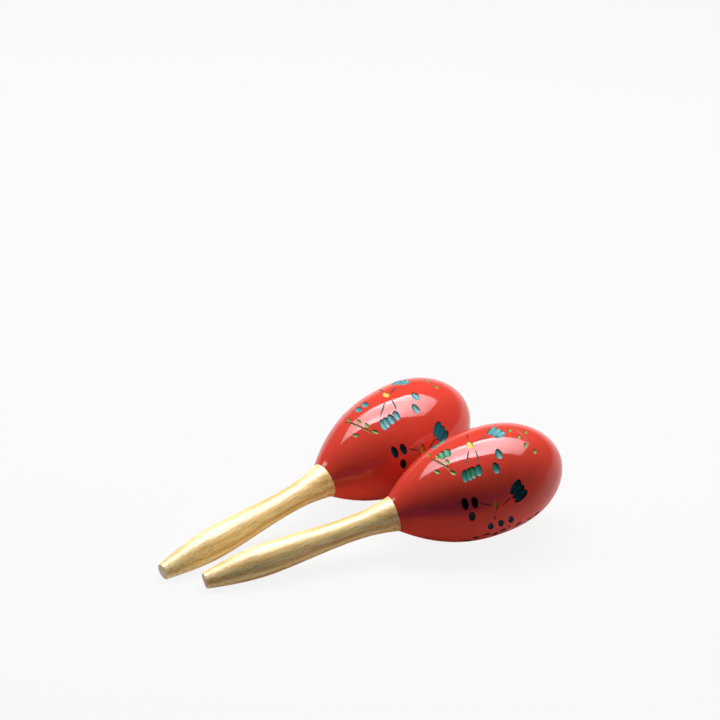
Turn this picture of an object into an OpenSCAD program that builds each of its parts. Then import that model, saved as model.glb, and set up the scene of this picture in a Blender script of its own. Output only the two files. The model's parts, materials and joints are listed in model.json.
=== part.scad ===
// Pair of turned wooden maracas lying side by side, in millimetres.
// Each maraca has a turned handle with a tenon and a hollow head in two lapped halves, with loose seeds inside.
// The front maraca points along +X, the floor is z = 0, and the origin is under the middle of the pair.

/* [Handle] */
// Length of the handle from its butt to the head
handle_len = 118; // [100:1:140]
// Diameter of the flat butt
butt_d = 9.6; // [7:0.2:13]
// Chamfer round the butt
butt_chamfer = 0.6; // [0.3:0.1:1.2]
// Diameter of the grip at its fullest
grip_d = 18.8; // [16:0.2:24]
// Distance of the fullest part of the grip from the butt
grip_at = 36.5; // [30:0.5:50]
// Diameter of the waist between the grip and the head
waist_d = 14.6; // [13:0.2:18]
// Distance of the waist from the butt
waist_at = 90; // [70:1:96]
// Diameter of the neck, where the handle meets the head
neck_d = 21.2; // [18:0.2:26]

/* [Head] */
// Length of the head from the neck to the crown
head_len = 107; // [90:1:125]
// Diameter of the belly, the widest circle of the head
head_d = 64.4; // [54:0.2:76]
// Distance of the belly from the neck
belly_at = 57.8; // [50:0.2:66]
// Thickness of the wall at the belly
wall = 4; // [3:0.2:6]
// Thickness of the wall at the crown
crown_wall = 5; // [3:0.5:8]
// Depth of the solid neck that carries the socket
neck_block = 20; // [14:0.5:26]

/* [Joints] */
// Diameter of the tenon on the handle
tenon_d = 12; // [9:0.5:14]
// Chamfer round the end of the tenon
tenon_chamfer = 0.8; // [0.4:0.1:1.5]
// Glue space round the tenon
socket_gap = 0.05; // [0.03:0.01:0.2]
// Space left between the tenon's end and the cavity
tenon_short = 0.6; // [0.2:0.1:2]
// Length of the lap between the two halves of the head
lap_len = 5; // [3:0.5:8]
// Glue space in the lap
lap_gap = 0.05; // [0.03:0.01:0.2]

/* [Seeds] */
// Diameter of one seed
seed_d = 5.6; // [4:0.1:7]
// Number of seeds in a row along the head
seeds_along = 6; // [4:1:6]
// Number of rows of seeds across the head
seed_rows = 4; // [2:1:4]
// Space between two neighbouring seeds
seed_space = 0.6; // [0.4:0.1:1.2]
// Space between a seed and the wall of the cavity
seed_clearance = 0.2; // [0.1:0.05:0.4]

/* [Pair] */
// Space between the two heads at their bellies
head_gap = 7; // [3:0.2:20]
// Turn of the rear maraca against the front one, seen from above
rear_turn = 16.3; // [5:0.1:25]
// Direction from the front belly to the rear belly, seen from above
rear_bearing = 111.9; // [100:0.1:120]

/* [Hidden] */
// Points on each stretch of a turned outline
steps = 20;
$fn = 72;
// Powers that set how quickly each stretch of the outline swells
nose_power = 1.6;
flare_power = 2.15;
flank_power = 2.2;
crown_power = 2.35;
crown_root = 0.535;

butt_r = butt_d / 2;
grip_r = grip_d / 2;
waist_r = waist_d / 2;
neck_r = neck_d / 2;
belly_r = head_d / 2;
cavity_r = belly_r - wall;
crown_len = head_len - belly_at;
belly_u = handle_len + belly_at;
tenon_len = neck_block - tenon_short;
lap_r = belly_r - wall / 2;
seed_r = seed_d / 2;
seed_pitch = seed_d + seed_space;
seed_reach = seed_r + seed_clearance;
seed_count = seeds_along * seed_rows;

// The turned outlines are lists of [radius, distance from the butt]
function swell(from, to, t, power) = to + (from - to) * pow(1 - t, power);
function even(i) = i / steps;
function round_end(i) = sin(90 * i / steps);

nose = [for (i = [0:steps - 1])
    let (u = butt_chamfer + (grip_at - butt_chamfer) * even(i))
    [swell(butt_r, grip_r, even(i), nose_power), u]];
grip_back = [for (i = [0:steps - 1])
    let (u = grip_at + (waist_at - grip_at) * even(i))
    [(grip_r + waist_r) / 2 + (grip_r - waist_r) / 2 * cos(180 * even(i)), u]];
flare = [for (i = [0:steps])
    let (u = waist_at + (handle_len - waist_at) * even(i))
    [waist_r + (neck_r - waist_r) * pow(even(i), flare_power), u]];
handle_outline = concat(nose, grip_back, flare);

function flank_r(t) = swell(neck_r, belly_r, t, flank_power);
function crown_r(x) = pow(1 - pow(x, crown_power), crown_root);
function crown_line(radius, length) = [for (i = [0:steps - 1])
    [radius * crown_r(round_end(i)), belly_u + length * round_end(i)]];

flank = [for (i = [0:steps - 1]) [flank_r(even(i)), handle_len + belly_at * even(i)]];
crown = crown_line(belly_r, crown_len);
head_outline = concat(flank, crown);

// The cavity keeps the wall up to the flat top of the solid neck
block_share = neck_block / belly_at;
lap_share = 1 - lap_len / belly_at;
cavity_flank = [for (i = [0:steps])
    let (t = block_share + (lap_share - block_share) * even(i))
    [flank_r(t) - wall, handle_len + belly_at * t]];
cavity_crown = crown_line(cavity_r, crown_len - crown_wall);
function cavity_at(u) =
    u < belly_u - lap_len ? flank_r((u - handle_len) / belly_at) - wall :
    u < belly_u ? cavity_r :
    cavity_r * crown_r((u - belly_u) / (crown_len - crown_wall));

// A maraca lies on the edge of its butt and on its head, which slopes its axis
rest_slope = max([for (p = head_outline) atan2(p[0] - butt_r, p[1] - butt_chamfer)]);
butt_height = butt_r * cos(rest_slope) - butt_chamfer * sin(rest_slope);

// The seeds lie round the lowest part of the cavity
bed_depths = [for (p = cavity_flank) p[0] * cos(rest_slope) - p[1] * sin(rest_slope)];
bed_at = cavity_flank[search(max(bed_depths), bed_depths)[0]][1];

function seed_u(i) = bed_at + seed_pitch * (i % seeds_along - (seeds_along - 1) / 2);
function seed_v(i) = seed_pitch * (floor(i / seeds_along) - (seed_rows - 1) / 2);
// Farthest that a seed at u can lie from the axis with its clearance to the wall all round
function seed_limit(u) = min([for (a = [-90:5:90]) cavity_at(u + seed_reach * sin(a)) - seed_reach * cos(a)]);
function seed_drop(i) = sqrt(pow(seed_limit(seed_u(i)), 2) - pow(seed_v(i), 2));

// The belly of the rear head is set off from the belly of the front head
belly_run = belly_u * cos(rest_slope);
belly_offset = head_d + head_gap;
front_butt = [0, 0];
rear_butt = [
    belly_run + belly_offset * cos(rear_bearing) - belly_run * cos(rear_turn),
    belly_offset * sin(rear_bearing) - belly_run * sin(rear_turn)];

// Reach of a maraca to one side along a direction that holds a given share of its axis
outline = concat([[butt_r - butt_chamfer, 0]], handle_outline, head_outline, [[0, handle_len + head_len]]);
function reach(at, share, side) = at + side * max([for (p = outline)
    side * p[1] * share + p[0] * sqrt(1 - pow(share, 2))]);
front_share = [cos(rest_slope), 0];
rear_share = [cos(rest_slope) * cos(rear_turn), cos(rest_slope) * sin(rear_turn)];
middle = [for (k = [0, 1])
    (max(reach(front_butt[k], front_share[k], 1), reach(rear_butt[k], rear_share[k], 1))
    + min(reach(front_butt[k], front_share[k], -1), reach(rear_butt[k], rear_share[k], -1))) / 2];

maracas = ["front", "rear"];
function butt_of(maraca) = (maraca == "front" ? front_butt : rear_butt) - middle;
function turn_of(maraca) = maraca == "front" ? 0 : rear_turn;
function seed_name(maraca, i) = str(maraca, "_seed_", i < 9 ? "0" : "", i + 1);

// Lays a maraca that stands on its butt down on the floor, with its x side below
module laid(maraca) {
    translate([butt_of(maraca)[0], butt_of(maraca)[1], butt_height])
        rotate([0, 90 - rest_slope, turn_of(maraca)])
            children();
}

// Turned handle with its tenon
module handle() {
    tenon_top = handle_len + tenon_len;
    tenon_r = tenon_d / 2;
    color("#d9bd86")
        rotate_extrude()
            polygon(concat(
                [[0, 0], [butt_r - butt_chamfer, 0]],
                handle_outline,
                [[tenon_r, handle_len], [tenon_r, tenon_top - tenon_chamfer],
                 [tenon_r - tenon_chamfer, tenon_top], [0, tenon_top]]));
}

// Lower bowl of the head, bored for the tenon and rebated for the lap
module head_neck_half() {
    socket_r = tenon_d / 2 + socket_gap;
    rebate_u = belly_u - lap_len;
    inside = [for (i = [0:steps]) cavity_flank[steps - i]];
    color("#d5372b")
        rotate_extrude()
            polygon(concat(
                [[socket_r, handle_len]],
                flank,
                [[belly_r, belly_u], [lap_r, belly_u], [lap_r, rebate_u]],
                inside,
                [[socket_r, handle_len + neck_block]]));
}

// Upper bowl of the head with the lip of the lap
module head_crown_half() {
    lip_u = belly_u - lap_len + lap_gap;
    inside = [for (i = [1:steps]) cavity_crown[steps - i]];
    color("#d5372b")
        rotate_extrude()
            polygon(concat(
                crown,
                [[0, handle_len + head_len], [0, handle_len + head_len - crown_wall]],
                inside,
                [[cavity_r, lip_u], [lap_r - lap_gap, lip_u], [lap_r - lap_gap, belly_u]]));
}

// One loose seed on the floor of the cavity
module seed(i) {
    color("#5b3a22")
        translate([seed_drop(i), seed_v(i), seed_u(i)])
            sphere(d = seed_d, $fn = 32);
}

for (maraca = maracas) {
    laid(maraca) handle();
    laid(maraca) head_neck_half();
    laid(maraca) head_crown_half();
    for (i = [0:seed_count - 1])
        laid(maraca) seed(i);
}
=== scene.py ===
"""Pair of red wooden maracas with carved flower sprays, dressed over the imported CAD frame.

The handles and heads are turned meshes in millimetres, laid down on the poses that the record gives.
The sprays are real gouge cuts in the heads, with painted floors. Each piece rides on its maraca's body.
"""
import json
import logging
import math
from dataclasses import dataclass, field, replace
from enum import Enum
from functools import cache
from typing import Any

import bmesh
import bpy
from bmesh.types import BMesh
from bpy.types import ID, Material, Mesh, Node, NodeOutputs, NodeSocket, NodeTree, Object
from mathutils import Matrix, Vector


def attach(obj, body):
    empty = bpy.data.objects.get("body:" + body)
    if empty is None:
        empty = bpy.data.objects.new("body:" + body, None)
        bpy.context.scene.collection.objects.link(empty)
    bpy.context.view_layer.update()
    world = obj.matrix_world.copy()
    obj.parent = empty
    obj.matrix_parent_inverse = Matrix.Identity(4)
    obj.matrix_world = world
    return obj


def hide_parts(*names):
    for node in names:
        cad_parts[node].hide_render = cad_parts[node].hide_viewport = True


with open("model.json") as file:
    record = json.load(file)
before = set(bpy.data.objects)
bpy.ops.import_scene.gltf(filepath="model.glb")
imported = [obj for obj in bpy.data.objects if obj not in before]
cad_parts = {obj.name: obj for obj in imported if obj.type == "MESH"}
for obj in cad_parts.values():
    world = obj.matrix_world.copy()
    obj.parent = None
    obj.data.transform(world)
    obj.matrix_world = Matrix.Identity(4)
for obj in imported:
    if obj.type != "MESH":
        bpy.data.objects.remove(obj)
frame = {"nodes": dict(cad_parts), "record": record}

LOG = logging.getLogger("maracas")
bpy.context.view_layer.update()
MM = 0.001
WELD_MM = 1e-4
UP = Vector((0, 0, 1))

# Two values that something runs between
Span = tuple[float, float]
# A place on a head: its distance from the neck in millimetres and its turn in degrees
Spot = tuple[float, float]
# The two ends of a line on a head
Line = tuple[Spot, Spot]


def linear(colour: str, strength: float = 1.0) -> tuple[float, float, float, float]:
    """Turns an sRGB hex colour into a linear one.

    Args:
        colour: Six hex digits after a hash sign.
        strength: What the colour is multiplied by, for a glow that passes 1.

    Returns:
        Linear red, green and blue, and an alpha of 1.
    """
    shares = [int(colour[i:i + 2], 16) / 255 for i in (1, 3, 5)]
    red, green, blue = [s / 12.92 if s <= 0.04045 else ((s + 0.055) / 1.055) ** 2.4 for s in shares]
    return red * strength, green * strength, blue * strength, 1.0


def add_node(tree: NodeTree, kind: str, inputs: dict[str | int, Any] | None = None,
             stops: dict[float, str] | None = None, **settings: Any) -> Node:
    """Adds a node with its settings, and links or sets its inputs.

    Args:
        tree: The node tree of a material or world.
        kind: Blender's name for the kind of node, without the word ShaderNode in front.
        inputs: Input name or number to a value, a socket, or a node, whose first output in use feeds it.
        stops: Places on a colour ramp, from 0 to 1, to sRGB hex colours.
        **settings: Properties of the node.

    Returns:
        The new node.
    """
    node = tree.nodes.new(f"ShaderNode{kind}")
    for name, value in settings.items():
        setattr(node, name, value)
    for key, value in (inputs or {}).items():
        if isinstance(value, Node):
            value = next(socket for socket in value.outputs if socket.enabled)
        if isinstance(value, NodeSocket):
            tree.links.new(value, node.inputs[key])
        else:
            node.inputs[key].default_value = value
    if stops:
        elements = node.color_ramp.elements
        while len(elements) < len(stops):
            elements.new(0.5)
        for element, (place, colour) in zip(elements, stops.items()):
            element.position = place
            element.color = linear(colour)
    return node


def blank_material(name: str) -> tuple[Material, NodeTree]:
    """Makes an empty node material.

    Args:
        name: The material's name.

    Returns:
        The material and its empty node tree.
    """
    material = bpy.data.materials.new(name)
    material.use_nodes = True
    material.node_tree.nodes.clear()
    return material, material.node_tree


class Side(Enum):
    """The two maracas of the pair, by the names that the frame uses."""

    FRONT = "front"
    REAR = "rear"


class Paint(Enum):
    """Paints of the carved sprays, by their slot on a head."""

    LACQUER = 0
    TEAL = 1
    AQUA = 2
    SEA = 3
    DEEP = 4
    BLACK = 5
    LEAF = 6
    YOLK = 7
    OCHRE = 8
    SLATE = 9
    OLIVE = 10
    INK = 11
    UMBER = 12


@dataclass(frozen=True)
class Pose:
    """Where a maraca lies in the row frame."""

    butt: Vector
    axis: Vector

    @classmethod
    def of(cls, side: Side) -> "Pose":
        """Reads the pose of one maraca from the mount at its butt."""
        mount = next(m for m in frame["record"]["mounts"] if m["name"] == f"{side.value}_butt")
        return cls(Vector(mount["pos_m"]), -Vector(mount["axis"]).normalized())

    def matrix(self) -> Matrix:
        """Works out how a turned mesh is laid down.

        Returns:
            The matrix from lathe millimetres, with z along the axis, x on top and y on the near side.
        """
        far_side = UP.cross(self.axis).normalized()
        top = self.axis.cross(far_side)
        turn = Matrix((top, -far_side, self.axis)).transposed().to_4x4()
        return Matrix.Translation(self.butt) @ turn @ Matrix.Scale(MM, 4)

    def lathe_coordinates(self, tree: NodeTree) -> Node:
        """Adds nodes that give a material the lathe coordinates of a laid maraca, in metres.

        Args:
            tree: The material's node tree.

        Returns:
            The node that gives the coordinates, with z along the turned axis from the butt.
        """
        place = add_node(tree, "TexCoord").outputs["Object"]
        turn = self.matrix().to_3x3().normalized().to_euler()
        return add_node(tree, "Mapping", {
            "Vector": place, "Location": self.butt, "Rotation": turn}, vector_type="TEXTURE")


@dataclass(frozen=True)
class RedLacquer:
    """Red nitro lacquer, sprayed on turned wood and buffed: deep even colour under a mirror gloss.

    Faint mottling and a long ripple keep the gloss from being a perfect mirror.
    """

    colour: str = "#e04739"
    deep: str = "#d84434"
    mottle_mm: float = 14.0
    mottle_detail: float = 3.0
    mottle_span: Span = (0.3, 0.7)
    ripple_mm: float = 9.0
    ripple_detail: float = 1.0
    ripple_height_mm: float = 0.012
    roughness: float = 0.07
    ior: float = 1.4

    def material(self) -> Material:
        """Makes the lacquer.

        Returns:
            The material.
        """
        material, tree = blank_material("red_nitro_lacquer")
        place = add_node(tree, "TexCoord").outputs["Object"]
        mottle = add_node(tree, "TexNoise", {
            "Vector": place, "Scale": 1 / (self.mottle_mm * MM), "Detail": self.mottle_detail})
        stops = dict(zip(self.mottle_span, (self.deep, self.colour)))
        colour = add_node(tree, "ValToRGB", {"Fac": mottle}, stops)
        ripple = add_node(tree, "TexNoise", {
            "Vector": place, "Scale": 1 / (self.ripple_mm * MM), "Detail": self.ripple_detail})
        bump = add_node(tree, "Bump", {"Height": ripple, "Distance": self.ripple_height_mm * MM})
        shader = add_node(tree, "BsdfPrincipled", {
            "Base Color": colour, "Normal": bump, "Roughness": self.roughness, "IOR": self.ior})
        add_node(tree, "OutputMaterial", {"Surface": shader})
        return material


@dataclass(frozen=True)
class GougePaint:
    """Brushed paint on the floor of a gouge cut: streaks along the cut, and a darker line of painted shade
    round its rim.

    The red lacquer is left bare where the cut starts, in a darker red than the lacquer as painted shade on
    the lip where it rolls into the cut. The stroke map of a cut has x along it and y across it, both from -1
    to 1. The spans of the rim shade and of the bare edge are distances from the middle on that map, and the
    streaks are counted along the cut, across it and into it.
    """

    name: str
    light: str
    body: str
    # The rim colour is a darker line of painted shade round the walls of the cut
    rim_shade: str
    # The bare colour is the red lacquer at the start of the cut, darker than the lacquer as painted shade on
    # that lip
    shaded_bare: str = "#b5281f"
    streaks: tuple[float, float, float] = (0.7, 5.0, 1.0)
    streak_span: Span = (0.36, 0.66)
    drift_mm: float = 2.5
    bare_start: float = 0.07
    rim_shade_span: Span = (0.76, 0.95)
    bare_span: Span = (1.0, 1.03)
    roughness: float = 0.4
    ior: float = 1.32

    def material(self) -> Material:
        """Makes the paint on the stroke map, with other streaks in each cut.

        Returns:
            The material.
        """
        material, tree = blank_material(self.name)
        stroke = add_node(tree, "UVMap", uv_map=Head.STROKE_MAP)
        place = add_node(tree, "TexCoord").outputs["Object"]
        across = add_node(tree, "Mapping", {"Vector": stroke, "Scale": self.streaks})
        drift = (1 / (self.drift_mm * MM),) * 3
        moved = add_node(tree, "VectorMath", {0: place, 1: drift, 2: across}, operation="MULTIPLY_ADD")
        streak = add_node(tree, "TexNoise", {"Vector": moved, "Scale": 1.0})
        stops = dict(zip(self.streak_span, (self.body, self.light)))
        colour = add_node(tree, "ValToRGB", {"Fac": streak}, stops)
        pushed = add_node(tree, "VectorMath", {0: stroke, 1: (-self.bare_start, 0.0, 0.0)})
        reach = add_node(tree, "VectorMath", {0: pushed}, operation="LENGTH")
        # Painted shade: a darker rim round the paint, and a darker red where the lacquer rolls into the start
        # of the cut
        for (start, end), edge in ((self.rim_shade_span, self.rim_shade), (self.bare_span, self.shaded_bare)):
            mask = add_node(tree, "MapRange", {"Value": reach, "From Min": start, "From Max": end})
            colour = add_node(tree, "Mix", {0: mask, "A": colour, "B": linear(edge)}, data_type="RGBA")
        shader = add_node(tree, "BsdfPrincipled", {
            "Base Color": colour, "Roughness": self.roughness, "IOR": self.ior})
        add_node(tree, "OutputMaterial", {"Surface": shader})
        return material


@dataclass(frozen=True)
class LacqueredWood:
    """Pale straight-grained hardwood, turned, sanded and clear lacquered: fine pores and long growth bands.

    Fibres, bands and pores are given by their width and length. Real fibres and pores are finer, and these
    are drawn as coarse as they need to be to show in the render. The span end_mm, from the butt, is where the
    long grain gives way to end grain.
    """

    light: str = "#fae5a4"
    body: str = "#f0ce76"
    dark: str = "#cda553"
    tone_stops: tuple[float, float, float] = (0.33, 0.48, 0.62)
    fibre_mm: Span = (0.7, 34.0)
    fibre_detail: float = 4.0
    fibre_bump: float = 0.5
    fibre_height_mm: float = 0.05
    band_mm: Span = (19.43, 291.4)
    band_wander: float = 5.0
    band_detail_scale: float = 0.8
    band_share: float = 0.2
    pore: str = "#a37a26"
    pore_mm: Span = (0.45, 11.0)
    pore_detail: float = 1.0
    pore_span: Span = (0.56, 0.7)
    pore_share: float = 0.65
    end_grain: str = "#e2cda8"
    end_mm: Span = (0.7, 0.1)
    roughness: float = 0.48
    ior: float = 1.66
    coat: float = 0.5
    coat_ior: float = 1.42
    coat_roughness: float = 0.16

    def material(self, side: Side, pose: Pose) -> Material:
        """Makes the wood of one handle.

        Args:
            side: Which maraca it is for, because the grain follows the handle.
            pose: Where that maraca lies.

        Returns:
            The material.
        """
        material, tree = blank_material(f"lacquered_pale_hardwood_{side.value}")
        lathe = pose.lathe_coordinates(tree)
        fibre_place, band_place, pore_place = (
            add_node(tree, "Mapping", {
                "Vector": lathe, "Scale": (1 / (width * MM), 1 / (width * MM), 1 / (length * MM))})
            for width, length in (self.fibre_mm, self.band_mm, self.pore_mm))
        fibre = add_node(tree, "TexNoise", {"Vector": fibre_place, "Scale": 1.0, "Detail": self.fibre_detail})
        band = add_node(tree, "TexWave", {
            "Vector": band_place, "Scale": 1.0, "Distortion": self.band_wander,
            "Detail Scale": self.band_detail_scale}).outputs["Fac"]
        tone = add_node(tree, "Mix", {0: self.band_share, "A": fibre, "B": band})
        stops = dict(zip(self.tone_stops, (self.dark, self.body, self.light)))
        colour = add_node(tree, "ValToRGB", {"Fac": tone}, stops)
        pores = add_node(tree, "TexNoise", {"Vector": pore_place, "Scale": 1.0, "Detail": self.pore_detail})
        pore_mask = add_node(tree, "MapRange", {
            "Value": pores, "From Min": self.pore_span[0], "From Max": self.pore_span[1],
            "To Max": self.pore_share})
        height = add_node(tree, "SeparateXYZ", {"Vector": lathe}).outputs["Z"]
        end_mask = add_node(tree, "MapRange", {
            "Value": height, "From Min": self.end_mm[0] * MM, "From Max": self.end_mm[1] * MM})
        for mask, shown in ((pore_mask, self.pore), (end_mask, self.end_grain)):
            colour = add_node(tree, "Mix", {0: mask, "A": colour, "B": linear(shown)}, data_type="RGBA")
        bump = add_node(tree, "Bump", {
            "Height": fibre, "Strength": self.fibre_bump, "Distance": self.fibre_height_mm * MM})
        shader = add_node(tree, "BsdfPrincipled", {
            "Base Color": colour, "Normal": bump, "Roughness": self.roughness, "IOR": self.ior,
            "Coat Weight": self.coat, "Coat Roughness": self.coat_roughness, "Coat IOR": self.coat_ior})
        add_node(tree, "OutputMaterial", {"Surface": shader})
        return material


@dataclass(frozen=True)
class SeedHusk:
    """Dry hard seed: dull brown husk with darker mottling."""

    light: str = "#7a5230"
    dark: str = "#4a2f1a"
    mottle_mm: float = 1.6
    mottle_detail: float = 3.0
    mottle_span: Span = (0.35, 0.65)
    roughness: float = 0.6

    def material(self) -> Material:
        """Makes the husk.

        Returns:
            The material.
        """
        material, tree = blank_material("dry_seed_husk")
        place = add_node(tree, "TexCoord").outputs["Object"]
        mottle = add_node(tree, "TexNoise", {
            "Vector": place, "Scale": 1 / (self.mottle_mm * MM), "Detail": self.mottle_detail})
        stops = dict(zip(self.mottle_span, (self.dark, self.light)))
        colour = add_node(tree, "ValToRGB", {"Fac": mottle}, stops)
        shader = add_node(tree, "BsdfPrincipled", {"Base Color": colour, "Roughness": self.roughness})
        add_node(tree, "OutputMaterial", {"Surface": shader})
        return material


# The fourth colour of each paint is its rim: a darker line of painted shade round the walls of the cut
PAINTS = {
    Paint.TEAL: GougePaint("brushed_teal_paint", "#14867e", "#066d66", "#04393a"),
    Paint.AQUA: GougePaint("brushed_aqua_paint", "#4f9a9e", "#367f84", "#174a4e"),
    Paint.SEA: GougePaint("brushed_sea_green_paint", "#2f8f69", "#18704d", "#0d432b"),
    Paint.DEEP: GougePaint("brushed_deep_teal_paint", "#22818f", "#136a78", "#031c22", ior=1.15),
    Paint.BLACK: GougePaint("brushed_black_paint", "#122826", "#030607", "#010202", ior=1.1),
    Paint.LEAF: GougePaint("brushed_leaf_green_paint", "#6f9a2e", "#55801f", "#39491a"),
    Paint.YOLK: GougePaint("brushed_yellow_paint", "#e8c455", "#d9a93a", "#b0701e"),
    Paint.OCHRE: GougePaint("brushed_ochre_paint", "#c89a22", "#a87c14", "#7a4a10"),
    Paint.SLATE: GougePaint("dark_slate_line_paint", "#3a3639", "#262325", "#20191a"),
    Paint.OLIVE: GougePaint("olive_brown_line_paint", "#6a6a24", "#4c4a18", "#3a3014"),
    Paint.INK: GougePaint("brushed_ink_teal_paint", "#0c4c56", "#042c34", "#010608", ior=1.1),
    Paint.UMBER: GougePaint("brushed_umber_paint", "#4a3f1c", "#33280f", "#1c1408", ior=1.2),
}


def swell(start: float, end: float, share: float, power: float) -> float:
    """Gives a radius that leaves one value and settles on another.

    Args:
        start: Radius at a share of 0.
        end: Radius at a share of 1.
        share: How far along the stretch.
        power: How quickly it swells.

    Returns:
        The radius.
    """
    return end + (start - end) * (1 - share) ** power


def turned(chains: list[list[Vector]], segments: int) -> BMesh:
    """Turns open chains of points round the z axis into one closed mesh.

    Args:
        chains: Lists of points, each a radius and a height. Ends that meet are merged.
        segments: Steps round the axis.

    Returns:
        The mesh, with its faces pointing outwards.
    """
    bm = bmesh.new()
    for chain in chains:
        verts = [bm.verts.new((p.x, 0, p.y)) for p in chain]
        edges = [bm.edges.new(pair) for pair in zip(verts, verts[1:])]
        bmesh.ops.spin(bm, geom=verts + edges, axis=UP, cent=(0, 0, 0), angle=math.tau,
                       steps=segments, use_merge=True)
    bmesh.ops.remove_doubles(bm, verts=bm.verts, dist=WELD_MM)
    bmesh.ops.recalc_face_normals(bm, faces=bm.faces)
    return bm


def shade(bm: BMesh, sharp_degrees: float) -> None:
    """Shades a mesh smooth, apart from its sharp edges.

    Args:
        bm: The mesh.
        sharp_degrees: The angle from which an edge is sharp.
    """
    for face in bm.faces:
        face.smooth = True
    for edge in bm.edges:
        edge.smooth = edge.calc_face_angle(0.0) < math.radians(sharp_degrees)


def placed(name: str, data: ID) -> Object:
    """Puts an object into the scene.

    Args:
        name: The object's name.
        data: Its mesh, lamp or camera.

    Returns:
        The object, at the origin.
    """
    thing = bpy.data.objects.new(name, data)
    bpy.context.scene.collection.objects.link(thing)
    return thing


def as_mesh(bm: BMesh, name: str) -> Mesh:
    """Keeps a bmesh as a mesh, and frees it.

    Args:
        bm: The bmesh.
        name: The mesh's name.

    Returns:
        The mesh.
    """
    mesh = bpy.data.meshes.new(name)
    bm.to_mesh(mesh)
    bm.free()
    return mesh


@dataclass(frozen=True)
class Handle:
    """Turned handle with its tenon. Sizes are millimetres."""

    length: float = 118.0
    butt_d: float = 9.6
    butt_round: float = 0.6
    grip_d: float = 18.8
    grip_at: float = 36.5
    waist_d: float = 14.6
    waist_at: float = 90.0
    neck_d: float = 21.2
    tenon_d: float = 12.0
    tenon_len: float = 19.4
    tenon_chamfer: float = 0.8
    nose_power: float = 1.6
    flare_power: float = 2.15
    steps: int = 36
    round_steps: int = 6
    segments: int = 128
    sharp_degrees: float = 40.0

    def outline(self) -> list[Vector]:
        """Draws the outline from the butt to the end of the tenon.

        Returns:
            Points of radius and distance from the butt.
        """
        butt, grip, waist, neck = (d / 2 for d in (self.butt_d, self.grip_d, self.waist_d, self.neck_d))
        shares = [i / self.steps for i in range(self.steps)]
        angles = [math.pi / 2 * k / self.round_steps for k in range(self.round_steps)]
        rounding = [Vector((butt - self.butt_round * (1 - math.sin(a)), self.butt_round * (1 - math.cos(a))))
                    for a in angles]
        nose = [Vector((swell(butt, grip, s, self.nose_power),
                        self.butt_round + (self.grip_at - self.butt_round) * s)) for s in shares]
        back = [Vector(((grip + waist) / 2 + (grip - waist) / 2 * math.cos(math.pi * s),
                        self.grip_at + (self.waist_at - self.grip_at) * s)) for s in shares]
        flare = [Vector((waist + (neck - waist) * s ** self.flare_power,
                         self.waist_at + (self.length - self.waist_at) * s)) for s in shares + [1.0]]
        tenon = self.tenon_d / 2
        top = self.length + self.tenon_len
        end = [Vector((tenon, self.length)), Vector((tenon, top - self.tenon_chamfer)),
               Vector((tenon - self.tenon_chamfer, top)), Vector((0, top))]
        return [Vector((0, 0))] + rounding + nose + back + flare + end

    def build(self, side: Side, pose: Pose) -> Object:
        """Turns the handle and lays it down.

        Args:
            side: Which maraca it belongs to.
            pose: Where that maraca lies.

        Returns:
            The dressed handle.
        """
        bm = turned([self.outline()], self.segments)
        bm.transform(pose.matrix())
        shade(bm, self.sharp_degrees)
        name = f"{side.value}_turned_handle"
        piece = placed(name, as_mesh(bm, name))
        piece.data.materials.append(LacqueredWood().material(side, pose))
        return piece


@dataclass(frozen=True)
class Chip:
    """The shape of one cut of a round gouge, from its thin start to its full end.

    Lengths are millimetres, and the slant is degrees from the axis of the head.
    """

    length: float
    width: float
    slant: float
    taper: float = 0.14
    bend: float = 0.0
    first_bite: float = 0.1
    bite_share: float = 0.17

    @property
    def depth(self) -> float:
        """How deep the cut goes."""
        return self.first_bite + self.bite_share * self.width

    def grown(self, length: float = 0.0, slant: float = 0.0) -> "Chip":
        """Gives a shape that is so much longer and slants so much more."""
        return replace(self, length=self.length + length, slant=self.slant + slant)


@dataclass(frozen=True)
class Gouge:
    """One cut on a head: the place of its middle, its shape and its paint."""

    at: float
    turn: float
    chip: Chip
    paint: Paint


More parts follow.
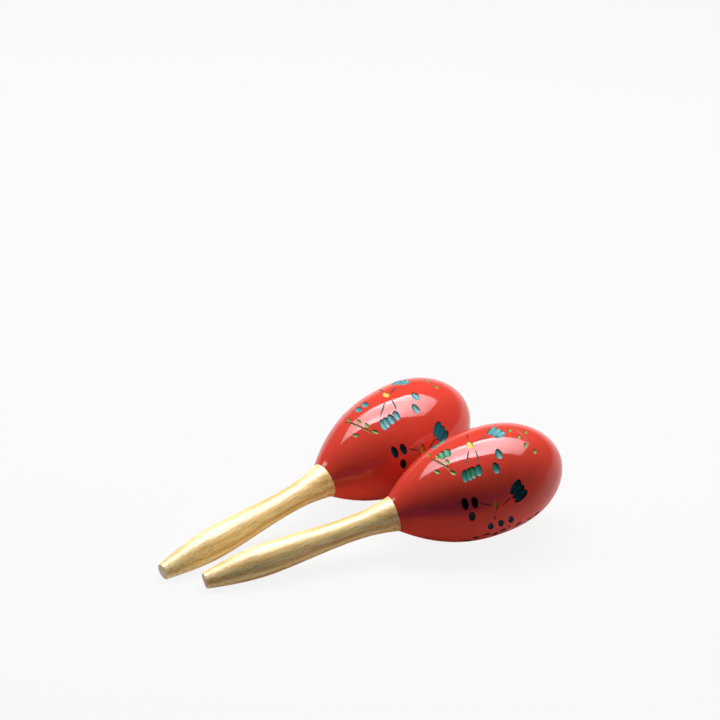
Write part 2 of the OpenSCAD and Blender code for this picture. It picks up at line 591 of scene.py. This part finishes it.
@dataclass(frozen=True)
class Head:
    """Hollow turned head: two lapped halves under one coat of lacquer. Sizes are millimetres.

    A nose is the solid that cuts one gouge. Its middle is lifted over the skin, and it follows the skin.
    """

    STROKE_MAP = "stroke"

    neck_at: float = 118.0
    length: float = 107.0
    belly_d: float = 64.4
    belly_at: float = 57.8
    neck_d: float = 21.2
    wall: float = 4.0
    crown_wall: float = 5.0
    neck_block: float = 20.0
    socket_d: float = 12.1
    flank_power: float = 2.2
    crown_power: float = 2.35
    crown_root: float = 0.535
    steps: int = 52
    inner_steps: int = 16
    segments: int = 192
    sharp_degrees: float = 24.0
    slope_step: float = 0.05
    nose_lift: float = 0.35
    nose_segments: tuple[int, int] = (24, 12)
    line_run_out: float = 1.12
    cut_margin: float = 1.0
    carve_weld: float = 0.001

    def radius(self, at: float) -> float:
        """Gives the radius of the skin.

        Args:
            at: Distance from the neck along the axis.

        Returns:
            The radius there, and 0 past the crown.
        """
        if at < self.belly_at:
            return swell(self.neck_d / 2, self.belly_d / 2, at / self.belly_at, self.flank_power)
        share = min((at - self.belly_at) / (self.length - self.belly_at), 1.0)
        return self.belly_d / 2 * (1 - share ** self.crown_power) ** self.crown_root

    def on_skin(self, at: float, turn: float, height: float = 0.0) -> Vector:
        """Finds a point on the skin, or over it.

        Args:
            at: Distance from the neck along the axis.
            turn: Degrees round the head, 0 on top and 90 on the near side.
            height: Distance from the skin, outwards.

        Returns:
            The point in lathe millimetres.
        """
        step = self.slope_step
        slope = (self.radius(at + step) - self.radius(at - step)) / (2 * step)
        angle = math.radians(turn)
        outward = Vector((math.cos(angle), math.sin(angle), 0))
        normal = (outward - UP * slope).normalized()
        return outward * self.radius(at) + UP * (self.neck_at + at) + normal * height

    def outlines(self) -> list[list[Vector]]:
        """Draws the skin and the cavity.

        Returns:
            Two chains of points: the skin from the neck to the crown, and the cavity down to the neck face.
        """
        neck, belly = self.neck_d / 2, self.belly_d / 2
        crown_len = self.length - self.belly_at
        shares = [i / self.steps for i in range(self.steps)]
        heights = [self.belly_at * s for s in shares]
        heights += [self.belly_at + crown_len * math.sin(math.pi / 2 * s) for s in shares]
        skin = [Vector((self.radius(h), h)) for h in heights]
        skin.append(Vector((0, self.length)))
        inner = [i / self.inner_steps for i in range(self.inner_steps)]
        cavity = [Vector((0, self.length - self.crown_wall))]
        for share in reversed(inner):
            reach = math.sin(math.pi / 2 * share)
            radius = (belly - self.wall) * (1 - reach ** self.crown_power) ** self.crown_root
            cavity.append(Vector((radius, self.belly_at + (crown_len - self.crown_wall) * reach)))
        for share in inner[1:] + [1.0]:
            at = self.belly_at + (self.neck_block - self.belly_at) * share
            cavity.append(Vector((self.radius(at) - self.wall, at)))
        socket = self.socket_d / 2
        cavity += [Vector((socket, self.neck_block)), Vector((socket, 0)), Vector((neck, 0))]
        return [[Vector((p.x, p.y + self.neck_at)) for p in chain] for chain in (skin, cavity)]

    def stroke(self, start: Spot, end: Spot, width: float, paint: Paint, bend: float = 0.0) -> Gouge:
        """Makes a thin line from one place on the skin to another.

        Args:
            start: Where the line starts.
            end: Where it ends.
            width: Its width.
            paint: The paint in it.
            bend: How far its middle lies to one side.

        Returns:
            The cut, a little longer than the line, because its ends run out thin.
        """
        middle = (start[0] + end[0]) / 2
        along = (self.on_skin(end[0], 0) - self.on_skin(start[0], 0)).length
        along = math.copysign(along, end[0] - start[0])
        around = math.radians(end[1] - start[1]) * self.radius(middle)
        slant = math.degrees(math.atan2(around, along))
        chip = Chip(self.line_run_out * math.hypot(along, around), width, slant, bend=bend)
        return Gouge(middle, (start[1] + end[1]) / 2, chip, paint)

    def touches(self, one: Gouge, other: Gouge) -> bool:
        """Tells whether two cuts may touch, by the circles round them.

        Args:
            one: A cut.
            other: Another cut.

        Returns:
            False if they are clear of each other.
        """
        turn = (one.turn - other.turn + 180) % 360 - 180
        around = math.radians(turn) * self.radius((one.at + other.at) / 2)
        reach = (one.chip.length + other.chip.length) / 2 + self.cut_margin
        return math.hypot(one.at - other.at, around) < reach

    def layers(self, gouges: list[Gouge]) -> list[list[Gouge]]:
        """Sorts cuts into layers, in which no two cuts touch.

        Args:
            gouges: All the cuts of a head.

        Returns:
            The layers, to be carved one after the other.
        """
        layers: list[list[Gouge]] = []
        for gouge in gouges:
            for layer in layers:
                if not any(self.touches(gouge, cut) for cut in layer):
                    layer.append(gouge)
                    break
            else:
                layers.append([gouge])
        return layers

    def nose(self, gouge: Gouge) -> BMesh:
        """Makes the nose of one cut.

        Args:
            gouge: The cut.

        Returns:
            The nose, with the stroke map and the paint on it.
        """
        chip = gouge.chip
        reach = chip.depth + self.nose_lift
        spread = 1 / math.sqrt(1 - (self.nose_lift / reach) ** 2)
        bm = bmesh.new()
        stroke_map = bm.loops.layers.uv.new(self.STROKE_MAP)
        around_steps, along_steps = self.nose_segments
        bmesh.ops.create_uvsphere(bm, u_segments=around_steps, v_segments=along_steps, radius=1.0)
        for face in bm.faces:
            face.material_index = gouge.paint.value
            for loop in face.loops:
                loop[stroke_map].uv = loop.vert.co.xy * spread
        slant = math.radians(chip.slant)
        half = 0.5
        lean = (self.on_skin(gouge.at + half, 0) - self.on_skin(gouge.at - half, 0)).length
        for vert in bm.verts:
            x, y, z = vert.co
            along = x * chip.length * spread / 2
            across = y * chip.width * spread / 2 * (1 + chip.taper * x) + chip.bend * (1 - x ** 2)
            at = gouge.at + (along * math.cos(slant) - across * math.sin(slant)) / lean
            around = along * math.sin(slant) + across * math.cos(slant)
            turn = gouge.turn + math.degrees(around / self.radius(at))
            vert.co = self.on_skin(at, turn, self.nose_lift + z * reach)
        bmesh.ops.reverse_faces(bm, faces=bm.faces)
        return bm

    def noses(self, gouges: list[Gouge]) -> Object:
        """Makes one object of all the noses of a layer.

        Args:
            gouges: The cuts of the layer.

        Returns:
            The object that cuts them.
        """
        joined = bmesh.new()
        for gouge in gouges:
            mesh = as_mesh(self.nose(gouge), "nose")
            joined.from_mesh(mesh)
            bpy.data.meshes.remove(mesh)
        return placed("gouge_noses", as_mesh(joined, "gouge_noses"))

    @cache
    def blank(self) -> Mesh:
        """Turns the plain head, once for every maraca that uses it.

        Returns:
            The mesh, with an empty stroke map.
        """
        bm = turned(self.outlines(), self.segments)
        bm.loops.layers.uv.new(self.STROKE_MAP)
        return as_mesh(bm, "plain_head")

    def build(self, side: Side, pose: Pose, gouges: list[Gouge]) -> Object:
        """Turns the head, carves and paints it, and lays it down.

        Args:
            side: Which maraca it belongs to.
            pose: Where that maraca lies.
            gouges: The cuts of its sprays.

        Returns:
            The dressed head.
        """
        piece = placed(f"{side.value}_carved_head", self.blank().copy())
        materials = [RedLacquer().material()] + [PAINTS[p].material() for p in list(Paint)[1:]]
        for material in materials:
            piece.data.materials.append(material)
        for layer in self.layers(gouges):
            cutter = self.noses(layer)
            for material in materials:
                cutter.data.materials.append(material)
            carve = piece.modifiers.new("carve", "BOOLEAN")
            carve.operation = "DIFFERENCE"
            carve.solver = "MANIFOLD"
            carve.object = cutter
            carved = piece.evaluated_get(bpy.context.evaluated_depsgraph_get())
            mesh = bpy.data.meshes.new_from_object(carved)
            piece.modifiers.clear()
            piece.data = mesh
            bpy.data.objects.remove(cutter)
        finished = bmesh.new()
        finished.from_mesh(piece.data)
        # Where cuts meet, points that are nearly one would leave slivers
        bmesh.ops.remove_doubles(finished, verts=finished.verts, dist=self.carve_weld)
        finished.transform(pose.matrix())
        shade(finished, self.sharp_degrees)
        finished.to_mesh(piece.data)
        finished.free()
        return piece


@dataclass(frozen=True)
class Spray:
    """A carved spray with a heart, thin stems round it and a leaning cluster of petals.

    The turns of all its cuts count from its heart, and so do the distances of its stems and its cluster.
    """

    turn: float
    heart_at: float
    heart: Chip
    heart_paint: Paint
    stems: tuple[Line, ...]
    stem_width: float
    cluster_from: Spot
    cluster_step: Spot
    cluster_petal: Chip
    cluster_growth: float
    cluster_lean: float
    cluster_paint: Paint

    CLUSTER_PETALS = 3

    def cuts(self, head: Head) -> list[Gouge]:
        """Lists the cuts of the spray in the order of carving, with turns counted from its heart."""
        raise NotImplementedError

    def gouges(self, head: Head) -> list[Gouge]:
        """Lists the cuts of the spray where they are on the head."""
        return [replace(cut, turn=cut.turn + self.turn) for cut in self.cuts(head)]

    def heart_cuts(self, head: Head) -> list[Gouge]:
        """Lists the heart and the thin stems round it.

        Args:
            head: The head that is carved.

        Returns:
            The cuts.
        """
        cuts = [Gouge(self.heart_at, 0, self.heart, self.heart_paint)]
        for (start, start_turn), (end, end_turn) in self.stems:
            cuts.append(head.stroke((self.heart_at + start, start_turn), (self.heart_at + end, end_turn),
                                    self.stem_width, Paint.SLATE))
        return cuts

    def cluster_cut(self, k: int) -> Gouge:
        """Gives one petal of the leaning cluster.

        Args:
            k: Its number, from 0.

        Returns:
            The cut.
        """
        at = self.heart_at + self.cluster_from[0] + self.cluster_step[0] * k
        turn = self.cluster_from[1] + self.cluster_step[1] * k
        petal = self.cluster_petal.grown(self.cluster_growth * k, self.cluster_lean * k)
        return Gouge(at, turn, petal, self.cluster_paint)


@dataclass(frozen=True)
class OpenFlower(Spray):
    """A spray with a fan of four petals under its heart, loose petals and two leaf sprigs."""

    heart_at: float = 51.3
    heart: Chip = Chip(6.9, 4.0, 99.0, taper=0.0)
    heart_paint: Paint = Paint.YOLK
    stems: tuple[Line, ...] = (((3.4, -21.3), (1.4, -9.5)), ((5.0, -1.0), (11.3, -4.0)),
                               ((-2.1, 6.8), (-8.0, 21.5)), ((1.0, 10.1), (-0.5, 25.7)))
    stem_width: float = 0.8
    cluster_from: Spot = (16.7, -10.5)
    cluster_step: Spot = (1.5, 5.2)
    cluster_petal: Chip = Chip(10.2, 4.5, -41.0)
    cluster_growth: float = -0.9
    cluster_lean: float = 4.5
    cluster_paint: Paint = Paint.AQUA
    fan_at: tuple[float, ...] = (40.3, 43.1, 45.4, 48.8)
    fan_turn: float = 33.2
    fan_turn_step: float = -0.2
    fan_petal: Chip = Chip(7.8, 4.0, 104.0, taper=0.0)
    fan_growth: float = -0.2
    fan_paints: tuple[Paint, ...] = (Paint.TEAL, Paint.SEA, Paint.SEA, Paint.TEAL)
    pair: tuple[Spot, ...] = ((63.8, 23.3), (58.8, 36.6))
    pair_petal: Chip = Chip(7.0, 4.2, 96.0)
    pair_paint: Paint = Paint.TEAL
    sides: tuple[Spot, ...] = ((34.7, -4.8), (37.8, -3.6))
    side_petal: Chip = Chip(7.7, 4.2, 98.0, taper=0.0)
    side_paint: Paint = Paint.SEA
    sprig: Line = ((27.8, -10.3), (33.7, 19.6))
    sprig_width: float = 1.35
    sprig_bend: float = -0.3
    tip_sprig: Line = ((80.2, -17.1), (84.8, 21.6))
    tip_sprig_width: float = 0.8
    tip_sprig_bend: float = -0.5
    leaves: tuple[Spot, ...] = ((29.1, -22.1), (31.8, -6.5), (34.9, 8.7))
    leaf: Chip = Chip(4.4, 2.3, 95.0)
    low_leaves: tuple[Spot, ...] = ((34.8, 23.8), (27.3, 13.5))
    low_leaf: Chip = Chip(4.4, 2.3, 60.0)
    tip_leaves: tuple[Spot, ...] = ((77.9, -4.4), (80.4, 8.6), (81.8, 21.3), (86.6, 0.6), (85.7, 31.3))
    tip_leaf: Chip = Chip(3.6, 2.4, 115.0)

    def cuts(self, head: Head) -> list[Gouge]:
        """Lists the cuts of the spray, with turns counted from its heart.

        Args:
            head: The head that is carved.

        Returns:
            The cuts, in the order of carving.
        """
        cuts = self.heart_cuts(head)
        for k, (at, paint) in enumerate(zip(self.fan_at, self.fan_paints)):
            petal = self.fan_petal.grown(self.fan_growth * k)
            cuts.append(Gouge(at, self.fan_turn + self.fan_turn_step * k, petal, paint))
        cuts += [Gouge(at, turn, self.pair_petal, self.pair_paint) for at, turn in self.pair]
        cuts += [Gouge(at, turn, self.side_petal, self.side_paint) for at, turn in self.sides]
        cuts += [self.cluster_cut(k) for k in range(self.CLUSTER_PETALS)]
        cuts.append(head.stroke(*self.sprig, self.sprig_width, Paint.OLIVE, self.sprig_bend))
        cuts.append(head.stroke(*self.tip_sprig, self.tip_sprig_width, Paint.OLIVE, self.tip_sprig_bend))
        for spots, leaf in ((self.leaves, self.leaf), (self.low_leaves, self.low_leaf),
                            (self.tip_leaves, self.tip_leaf)):
            cuts += [Gouge(at, turn, leaf, Paint.LEAF) for at, turn in spots]
        return cuts


@dataclass(frozen=True)
class BudSpray(Spray):
    """A spray with three dark petals, three buds beside its heart and a row of small leaves.

    A petal is given by its distance and turn from the heart, and by how much longer it is than the first one.
    """

    heart_at: float = 52.1
    heart: Chip = Chip(6.3, 3.2, 99.0, taper=0.0)
    heart_paint: Paint = Paint.OCHRE
    stems: tuple[Line, ...] = (((-8.8, -7.7), (-2.8, -0.9)), ((4.2, 3.1), (9.7, -2.7)),
                               ((-1.2, 12.1), (-2.1, 17.3)), ((7.5, 32.0), (8.2, 44.6)))
    stem_width: float = 0.85
    cluster_from: Spot = (14.1, -11.5)
    cluster_step: Spot = (1.1, 6.0)
    cluster_petal: Chip = Chip(10.2, 4.8, -37.0)
    cluster_growth: float = 0.0
    cluster_lean: float = 5.0
    cluster_paint: Paint = Paint.INK
    petals: tuple[tuple[float, float, float], ...] = (
        (-17.0, -11.5, 0.0), (-11.5, -10.0, -0.5), (-14.6, 5.6, -1.4))
    petal: Chip = Chip(7.7, 3.9, 92.0, taper=0.0)
    petal_paints: tuple[Paint, ...] = (Paint.BLACK, Paint.BLACK, Paint.INK)
    bud_from: Spot = (-4.4, 26.0)
    bud_step: float = 6.4
    bud: Chip = Chip(6.8, 3.5, 80.0, taper=0.0)
    bud_paint: Paint = Paint.INK
    row: tuple[Spot, ...] = ((35.7, 52.6), (39.8, 43.9), (45.6, 40.6), (51.2, 46.1),
                             (56.0, 41.7), (66.1, 40.8), (73.8, 42.7), (78.8, 41.6))
    row_leaf: Chip = Chip(4.4, 3.2, -20.0)

    def cuts(self, head: Head) -> list[Gouge]:
        """Lists the cuts of the spray, with turns counted from its heart.

        Args:
            head: The head that is carved.

        Returns:
            The cuts, in the order of carving.
        """
        cuts = self.heart_cuts(head)
        for (away, turn, growth), paint in zip(self.petals, self.petal_paints):
            cuts.append(Gouge(self.heart_at + away, turn, self.petal.grown(growth), paint))
        for k in range(self.CLUSTER_PETALS):
            bud_at = self.heart_at + self.bud_from[0] + self.bud_step * k
            cuts += [self.cluster_cut(k), Gouge(bud_at, self.bud_from[1], self.bud, self.bud_paint)]
        return cuts + [Gouge(at, turn, self.row_leaf, Paint.UMBER) for at, turn in self.row]


REAR_FLOWER = OpenFlower(
    turn=-6.0, heart_at=55.0, stem_width=1.05, cluster_from=(14.3, -16.0),
    stems=(((3.0, -20.0), (1.5, -9.0)), ((3.2, 1.8), (9.5, -4.3)), ((-5.5, 10.5), (-14.0, 22.2)),
           ((-0.9, 11.5), (-3.7, 26.2))),
    fan_at=(38.6, 40.9, 44.4, 48.5), fan_paints=(Paint.AQUA,) * 4,
    pair=((67.3, 23.3), (61.4, 36.6)), pair_paint=Paint.AQUA,
    sides=((36.5, -9.2), (41.4, -8.0)), side_paint=Paint.AQUA,
    sprig=((25.7, -11.6), (29.9, 31.7)), sprig_bend=0.5,
    leaves=((27.9, -6.9), (29.9, 8.3), (31.1, 20.9)), low_leaves=((32.2, 34.6), (22.6, 20.9)),
    tip_leaves=((84.7, 3.0), (85.0, 20.7)))
REAR_BUD = BudSpray(
    turn=72.9, heart_at=52.7, cluster_paint=Paint.DEEP, bud_paint=Paint.DEEP,
    petal_paints=(Paint.INK, Paint.INK, Paint.BLACK))
SPRAYS: dict[Side, list[Spray]] = {
    Side.FRONT: [OpenFlower(8.4), BudSpray(82.3), OpenFlower(161.0), BudSpray(229.0),
                 OpenFlower(301.0, fan_at=(35.2, 37.6, 40.0, 42.4), pair=())],
    Side.REAR: [REAR_FLOWER, REAR_BUD, replace(REAR_FLOWER, turn=146.0),
                replace(REAR_BUD, turn=218.0, heart_at=52.1), replace(REAR_FLOWER, turn=282.0)],
}


@dataclass
class Maraca:
    """One maraca: its handle, its carved head and its seeds, all on one body apart from the loose seeds."""

    side: Side
    sprays: list[Spray]
    handle: Handle = field(default_factory=Handle)
    head: Head = field(default_factory=Head)

    def build(self, husk: Material) -> None:
        """Builds and dresses the maraca.

        Args:
            husk: The finish of its seeds, which stay as the frame has them.
        """
        pose = Pose.of(self.side)
        body = f"{self.side.value}_maraca"
        handle = self.handle.build(self.side, pose)
        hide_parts(f"{self.side.value}_handle")
        gouges = [gouge for spray in self.sprays for gouge in spray.gouges(self.head)]
        head = self.head.build(self.side, pose, gouges)
        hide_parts(f"{self.side.value}_head_neck_half", f"{self.side.value}_head_crown_half")
        for piece in (handle, head):
            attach(piece, body)
            LOG.info("%s: %d faces on %s", piece.name, len(piece.data.polygons), body)
        for name, node in frame["nodes"].items():
            if name.startswith(f"{self.side.value}_seed_"):
                node.data.materials.clear()
                node.data.materials.append(husk)
                LOG.info("%s: %s", name, husk.name)


def white_rays(tree: NodeTree, path: NodeOutputs, mirrored: Node) -> Node:
    """Adds nodes that tell which rays see the plain white of the ground.

    Args:
        tree: The node tree of the floor or the room.
        path: The outputs of its light path node.
        mirrored: Where the gloss shows the white, too.

    Returns:
        The node with 1 for the camera, for glass, and for the gloss where it is mirrored.
    """
    clear = add_node(tree, "Math", {
        0: path["Is Camera Ray"], 1: path["Is Transmission Ray"]}, operation="MAXIMUM")
    glossy = add_node(tree, "Math", {0: path["Is Glossy Ray"], 1: mirrored}, operation="MULTIPLY")
    return add_node(tree, "Math", {0: clear, 1: glossy}, operation="MAXIMUM")


@dataclass(frozen=True)
class Studio:
    """White floor under one wide softbox, with the camera of the photograph. Sizes are metres.

    Places and spans on the floor count from the middle of the pair, to the camera's right or away from it.
    The spans dusk_side, sweep_span and above_span are shares of a direction. Places and spans on the cloth
    of the softbox are shares of its width and depth. What the gloss shows of the floor and of the room is
    fitted to the photograph.
    """

    # Half the side of a panel before it is laid in its place
    HALF = 0.5

    ground: str = "#f9f9f9"
    ground_glow: float = 0.99
    shadow_share: float = 0.06
    floor_size: float = 8.0
    floor_grey: float = 0.95
    bounce_from: Span = (-0.12, -0.07)
    mirror_from: Span = (-0.09, 0.0)
    mirror_hole: Span = (0.07, 0.14)
    hole_at: tuple[float, float] = (0.02, 0.01)
    room: str = "#161414"
    # dark, flanks, dusk and blush are painted reflections: glows that only the gloss sees, in dark red,
    # grey-pink, deep blue and a brighter red
    dark: str = "#95352e"
    flanks: str = "#7c6f6f"
    dusk: str = "#100097"
    dusk_from: Span = (-0.104, -0.112)
    dusk_side: Span = (0.58, 0.74)
    blush: str = "#ff4b3d"
    blush_glow: float = 1.7
    blush_from: Span = (-0.065, -0.08)
    blush_side: Span = (-0.03, 0.02)
    sweep_drop: float = 3.0
    sweep_span: Span = (0.1, 0.9)
    above_span: Span = (0.1, 0.35)
    eye: tuple[float, float, float] = (-0.4528, -1.1877, 0.7890)
    azimuth: float = -21.21
    elevation: float = 28.06
    lens_mm: float = 125.0
    sensor_mm: float = 36.0
    box_width: float = 1.92
    box_depth: float = 0.73
    box_at: tuple[float, float, float] = (-0.03, 0.393, 1.05)
    box_turn: float = -10.3
    box_power: float = 26.2
    lamp_depth: float = 0.46
    box_tint: str = "#f8f6ff"
    box_glare: float = 13.1
    box_peak: float = 0.115
    box_ends: Span = (0.42, 0.3)
    tubes_glare: float = 1.2
    tubes_at: float = -0.1
    tubes_half: float = 0.3
    tubes_from: Span = (0.2, 0.36)
    card_from: tuple[float, float, float] = (-0.0085, 0.0148, 0.0355)
    card_way: tuple[float, float, float] = (-0.763, 0.378, 0.52)
    card_far: float = 0.09
    card_size: tuple[float, float] = (0.036, 0.0052)
    card_turn: float = 24.0
    card_glare: float = 9.0

    def away(self) -> Vector:
        """Gives the level direction that the camera looks in."""
        angle = math.radians(self.azimuth)
        return Vector((-math.sin(angle), math.cos(angle), 0))

    def across(self) -> Vector:
        """Gives the level direction to the camera's right."""
        return self.away().cross(UP)

    def ahead(self, tree: NodeTree, way: NodeSocket) -> Node:
        """Adds nodes that tell the camera's side of the room from the other sides.

        Args:
            tree: The node tree of the floor or the room.
            way: The direction from the pair.

        Returns:
            The node with 1 on the camera's side and 0 elsewhere.
        """
        level = add_node(tree, "VectorMath", {0: way, 1: (1, 1, 0)}, operation="MULTIPLY")
        unit = add_node(tree, "VectorMath", {0: level}, operation="NORMALIZE")
        share = add_node(tree, "VectorMath", {0: unit, 1: -self.away()}, operation="DOT_PRODUCT")
        return add_node(tree, "MapRange", {
            "Value": share, "From Min": self.dusk_side[0], "From Max": self.dusk_side[1]})

    def build(self) -> None:
        """Builds the floor, the light, the room and the camera."""
        self.floor()
        self.softbox()
        self.side_card()
        self.surroundings()
        self.camera()

    def floor(self) -> None:
        """Lays the floor: plain white to the camera and in the gloss, with the pair's soft shadow kept on it.

        Where the gloss doesn't show that white, it shows a painted reflection that only the gloss sees: dark
        red under the pair, a brighter red strip in front of it, running out into deep blue on the camera's
        side.
        """
        material, tree = blank_material("matt_white_sweep")
        path = add_node(tree, "LightPath").outputs
        place = add_node(tree, "TexCoord").outputs["Object"]
        depth = add_node(tree, "VectorMath", {0: place, 1: self.away()}, operation="DOT_PRODUCT")
        sideways = add_node(tree, "VectorMath", {0: place, 1: self.across()}, operation="DOT_PRODUCT")
        hole = self.across() * self.hole_at[0] + self.away() * self.hole_at[1]
        spread = add_node(tree, "VectorMath", {0: place, 1: hole}, operation="DISTANCE")
        bounce, behind, round_hole, near, warm, right = (
            add_node(tree, "MapRange", {"Value": value, "From Min": start, "From Max": end})
            for value, (start, end) in (
                (depth, self.bounce_from), (depth, self.mirror_from), (spread, self.mirror_hole),
                (depth, self.dusk_from), (depth, self.blush_from), (sideways, self.blush_side)))
        grey, mirrored, blushing, dusky = (
            add_node(tree, "Math", {0: one, 1: other}, operation="MULTIPLY")
            for one, other in ((bounce, self.floor_grey), (behind, round_hole), (warm, right),
                               (near, self.ahead(tree, place))))
        # The painted reflection that only the gloss sees on the floor: dark red, then a brighter red strip,
        # then deep blue
        tint = linear(self.dark)
        for mask, glow in ((blushing, linear(self.blush, self.blush_glow)), (dusky, linear(self.dusk))):
            tint = add_node(tree, "Mix", {0: mask, "A": tint, "B": glow}, data_type="RGBA")
        dull = add_node(tree, "BsdfDiffuse", {"Color": grey})
        painted_reflection = add_node(tree, "Emission", {"Color": tint})
        hidden = add_node(tree, "MixShader", {0: path["Is Glossy Ray"], 1: dull, 2: painted_reflection})
        plain = add_node(tree, "Emission", {"Color": linear(self.ground), "Strength": self.ground_glow})
        lit = add_node(tree, "BsdfDiffuse", {"Color": linear(self.ground)})
        shown = add_node(tree, "MixShader", {0: self.shadow_share, 1: plain, 2: lit})
        surface = add_node(tree, "MixShader", {0: white_rays(tree, path, mirrored), 1: hidden, 2: shown})
        add_node(tree, "OutputMaterial", {"Surface": surface})
        self.panel("floor", Matrix.Scale(self.floor_size, 4), material)

    def softbox(self) -> None:
        """Hangs the wide softbox over and behind the pair: a lamp, and a face whose glare the gloss shows."""
        right, behind, height = self.box_at
        centre = self.across() * right + self.away() * behind + UP * height
        angle = math.radians(self.azimuth + self.box_turn)
        hung = Matrix.Translation(centre) @ Matrix.Rotation(angle, 4, "Z")
        lamp = bpy.data.lights.new("softbox", "AREA")
        lamp.shape = "RECTANGLE"
        lamp.size = self.box_width
        lamp.size_y = self.lamp_depth
        lamp.energy = self.box_power
        placed("softbox", lamp).matrix_world = hung
        face = hung @ Matrix.Diagonal((self.box_width, self.box_depth, 1, 1))
        self.panel("softbox_face", face, self.cloth(centre, angle), gloss_only=True)

    def side_card(self) -> None:
        """Holds a small card over the rear neck that glows white, seen only in the gloss, to put a painted
        spark on the neck of each head.
        """
        way = Vector(self.card_way).normalized()
        place = Matrix.Translation(Vector(self.card_from) + way * self.card_far)
        facing = way.to_track_quat("Z", "Y").to_matrix().to_4x4()
        turn = Matrix.Rotation(math.radians(self.card_turn), 4, "Z")
        face = place @ facing @ turn @ Matrix.Diagonal((*self.card_size, 1, 1))
        material, tree = blank_material("spark_glow_card")
        # A glow that only the gloss sees: the painted spark on the necks
        glow = add_node(tree, "Emission", {"Color": linear(self.ground), "Strength": self.card_glare})
        add_node(tree, "OutputMaterial", {"Surface": glow})
        self.panel("side_card", face, material, gloss_only=True)

    def panel(self, name: str, face: Matrix, material: Material, gloss_only: bool = False) -> None:
        """Puts a flat panel in its place.

        Args:
            name: The panel's name.
            face: Lays a square of one metre on the panel's place.
            material: What it is made of.
            gloss_only: Whether only the gloss shows it.
        """
        bm = bmesh.new()
        bmesh.ops.create_grid(bm, x_segments=1, y_segments=1, size=self.HALF)
        bm.transform(face)
        panel = placed(name, as_mesh(bm, name))
        panel.data.materials.append(material)
        panel.visible_camera = not gloss_only
        panel.visible_diffuse = not gloss_only
        panel.visible_shadow = not gloss_only

    def cloth(self, centre: Vector, angle: float) -> Material:
        """Makes the cloth of the softbox, which glows most right of its middle and over two tubes behind it.

        Args:
            centre: The middle of the softbox.
            angle: Its turn about the vertical, in radians.

        Returns:
            The material.
        """
        material, tree = blank_material("softbox_cloth")
        place = add_node(tree, "TexCoord").outputs["Object"]
        local = add_node(tree, "Mapping", {
            "Vector": place, "Location": centre, "Rotation": (0, 0, angle),
            "Scale": (self.box_width, self.box_depth, 1.0)}, vector_type="TEXTURE")
        share = add_node(tree, "SeparateXYZ", {"Vector": local}).outputs
        beside = add_node(tree, "Math", {0: share["X"], 1: self.tubes_at}, operation="SUBTRACT")
        reach = add_node(tree, "Math", {0: beside}, operation="ABSOLUTE")
        out = add_node(tree, "Math", {0: share["Y"]}, operation="ABSOLUTE")
        left_end, right_end = (end * self.box_glare for end in self.box_ends)
        left, right, on_tube, along_tube = (
            add_node(tree, "MapRange", {
                "Value": value, "From Min": start, "From Max": end, "To Min": low, "To Max": high})
            for value, start, end, low, high in (
                (share["X"], -self.HALF, self.box_peak, left_end, self.box_glare),
                (share["X"], self.box_peak, self.HALF, self.box_glare, right_end),
                (out, *self.tubes_from, 0.0, self.tubes_glare),
                (reach, 0.0, self.tubes_half, 1.0, 0.0)))
        plain = add_node(tree, "Math", {0: left, 1: right}, operation="MINIMUM")
        tubes = add_node(tree, "Math", {0: on_tube, 1: along_tube}, operation="MULTIPLY")
        glare = add_node(tree, "Math", {0: plain, 1: tubes, 2: plain}, operation="MULTIPLY_ADD")
        glow = add_node(tree, "Emission", {"Color": linear(self.box_tint), "Strength": glare})
        add_node(tree, "OutputMaterial", {"Surface": glow})
        return material

    def surroundings(self) -> None:
        """Sets the room: white to the camera and low behind the pair. The rest of the gloss shows painted
        reflections, dark red above and grey-pink or deep blue low down, and other light sees a plain dim
        room.
        """
        world = bpy.data.worlds.new("room")
        world.use_nodes = True
        tree = world.node_tree
        tree.nodes.clear()
        path = add_node(tree, "LightPath").outputs
        way = add_node(tree, "TexCoord").outputs["Generated"]
        low_behind = self.away() - UP * self.sweep_drop
        facing = add_node(tree, "VectorMath", {0: way, 1: low_behind}, operation="DOT_PRODUCT")
        height = add_node(tree, "SeparateXYZ", {"Vector": way}).outputs["Z"]
        sweep, above = (
            add_node(tree, "MapRange", {"Value": value, "From Min": start, "From Max": end})
            for value, (start, end) in ((facing, self.sweep_span), (height, self.above_span)))
        # Painted reflections that only the gloss sees: grey-pink or deep blue low down, dark red above
        low = add_node(tree, "Mix", {
            0: self.ahead(tree, way), "A": linear(self.flanks), "B": linear(self.dusk)}, data_type="RGBA")
        painted_reflection = add_node(tree, "Mix", {0: above, "A": low, "B": linear(self.dark)}, data_type="RGBA")
        tint = add_node(tree, "Mix", {
            0: path["Is Glossy Ray"], "A": linear(self.room), "B": painted_reflection}, data_type="RGBA")
        dim = add_node(tree, "Background", {"Color": tint})
        white = add_node(tree, "Background", {"Color": linear(self.ground)})
        mixed = add_node(tree, "MixShader", {0: white_rays(tree, path, sweep), 1: dim, 2: white})
        add_node(tree, "OutputWorld", {"Surface": mixed})
        bpy.context.scene.world = world

    def camera(self) -> None:
        """Sets up the camera of the photograph."""
        data = bpy.data.cameras.new("camera")
        data.lens = self.lens_mm
        data.sensor_width = self.sensor_mm
        drop = math.radians(self.elevation)
        look = self.away() * math.cos(drop) - UP * math.sin(drop)
        turn = look.to_track_quat("-Z", "Y").to_matrix().to_4x4()
        camera = placed("camera", data)
        camera.matrix_world = Matrix.Translation(self.eye) @ turn
        bpy.context.scene.camera = camera


def main() -> None:
    """Builds the pair and the studio."""
    logging.basicConfig(level=logging.INFO, format="%(message)s")
    bpy.context.scene.view_settings.view_transform = "Standard"
    husk = SeedHusk().material()
    for side, sprays in SPRAYS.items():
        Maraca(side, sprays).build(husk)
    Studio().build()


if __name__ == "__main__":
    main()
